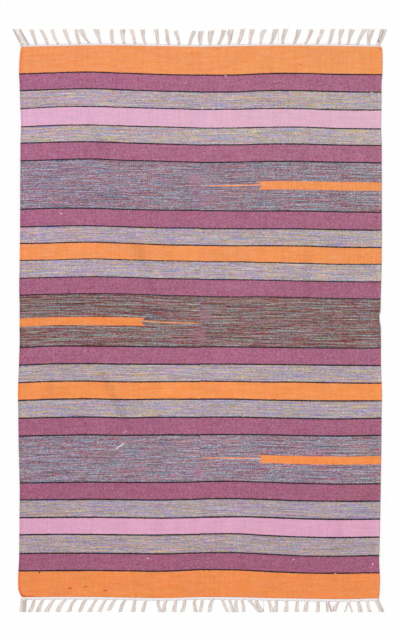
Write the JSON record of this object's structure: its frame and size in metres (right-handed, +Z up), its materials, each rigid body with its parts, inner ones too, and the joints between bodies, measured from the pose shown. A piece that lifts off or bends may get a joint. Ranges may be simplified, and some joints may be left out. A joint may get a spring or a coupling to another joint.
{
  "type": "kilim rug",
  "caption": "Flat-woven striped kilim rug lying flat, with pin lines, half bars and a knotted warp fringe along both ends.",
  "frame": {"origin": "under the middle of the whole rug with its fringe, on the flat underside", "axes": "+X across the rug, +Y along it towards the far fringe, +Z up through its thickness"},
  "size_m": [1.2354, 1.9332, 0.0049],
  "materials": {
    "weave": "matt flat weave of dyed cotton in stripes",
    "warp_yarn": "matt undyed cotton yarn, twisted and knotted"
  },
  "bodies": {
    "root": {"rug_body": "weave", "fringe_far": "warp_yarn", "fringe_near": "warp_yarn"}
  },
  "joints": []
}
